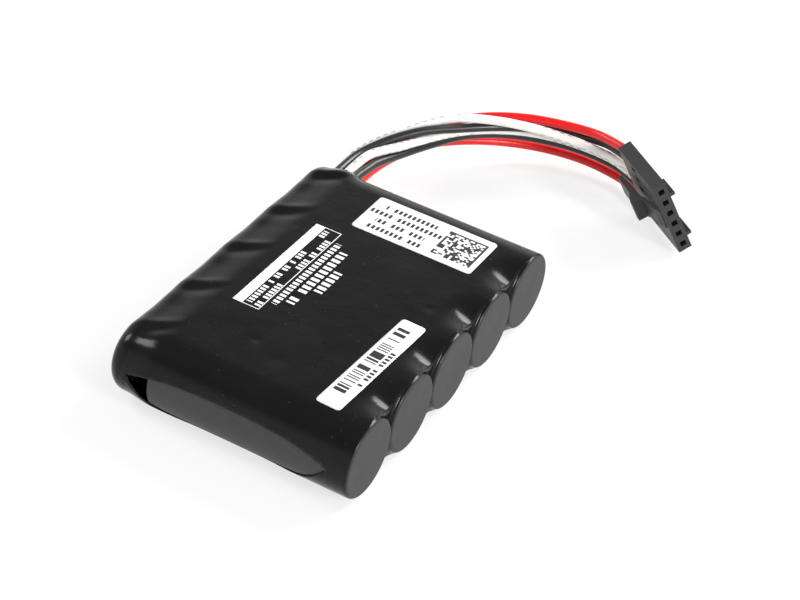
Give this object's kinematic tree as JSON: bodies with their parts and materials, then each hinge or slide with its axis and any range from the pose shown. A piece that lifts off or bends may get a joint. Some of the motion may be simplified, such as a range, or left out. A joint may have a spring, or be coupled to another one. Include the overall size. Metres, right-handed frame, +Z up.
{
  "type": "capacitor backup module",
  "caption": "Flat row of round cells in a black shrink sleeve with scalloped ends, a hidden balance board and a short six-wire lead to a locking plug: backup power for a disk-array controller.",
  "frame": {"origin": "middle of the sleeve's footprint, on the surface that the module lies on", "axes": "+X along the cells to their closed ends, +Y along the row of cells towards the side that the lead leaves by, +Z up, through the labels"},
  "size_m": [0.058, 0.1057, 0.0158],
  "materials": {
    "film": "semi-gloss black heat-shrink film",
    "can_aluminium": "bright drawn aluminium",
    "cell_wrap": "matt dark grey thin sleeve",
    "electrode_roll": "matt carbon black roll",
    "seal_rubber": "matt black rubber",
    "tinned_metal": "tinned copper wire",
    "board_laminate": "green solder resist over glass laminate",
    "resistor_body": "black overglaze with tinned ends",
    "chip_body": "matt black moulding",
    "capacitor_body": "tan ceramic",
    "solder": "bright solder",
    "insulator": "pale yellow insulating sheet",
    "wire_red": "satin red insulation",
    "wire_black": "satin black insulation",
    "wire_white": "satin white insulation",
    "plug_nylon": "matt black glass-filled nylon",
    "contact_tin": "tinned phosphor bronze",
    "label_paper": "matt white label stock"
  },
  "bodies": {
    "root": {"shrink_sleeve": "film", "can_1": "can_aluminium", "can_2": "can_aluminium", "can_3": "can_aluminium", "can_4": "can_aluminium", "can_5": "can_aluminium", "wrap_1": "cell_wrap", "wrap_2": "cell_wrap", "wrap_3": "cell_wrap", "wrap_4": "cell_wrap", "wrap_5": "cell_wrap", "winding_1": "electrode_roll", "winding_2": "electrode_roll", "winding_3": "electrode_roll", "winding_4": "electrode_roll", "winding_5": "electrode_roll", "seal_1": "seal_rubber", "seal_2": "seal_rubber", "seal_3": "seal_rubber", "seal_4": "seal_rubber", "seal_5": "seal_rubber", "pins_1": "tinned_metal", "pins_2": "tinned_metal", "pins_3": "tinned_metal", "pins_4": "tinned_metal", "pins_5": "tinned_metal", "balance_board": "board_laminate", "balance_resistors": "resistor_body", "memory_chip": "chip_body", "bypass_capacitors": "capacitor_body", "pin_joints": "solder", "wire_joints": "solder", "insulating_strip": "insulator", "wire_red_1": "wire_red", "wire_black_1": "wire_black", "wire_white_1": "wire_white", "wire_white_2": "wire_white", "wire_black_2": "wire_black", "wire_red_2": "wire_red", "plug_housing": "plug_nylon", "plug_contacts": "contact_tin", "code_label": "label_paper", "bar_label": "label_paper"}
  },
  "joints": []
}
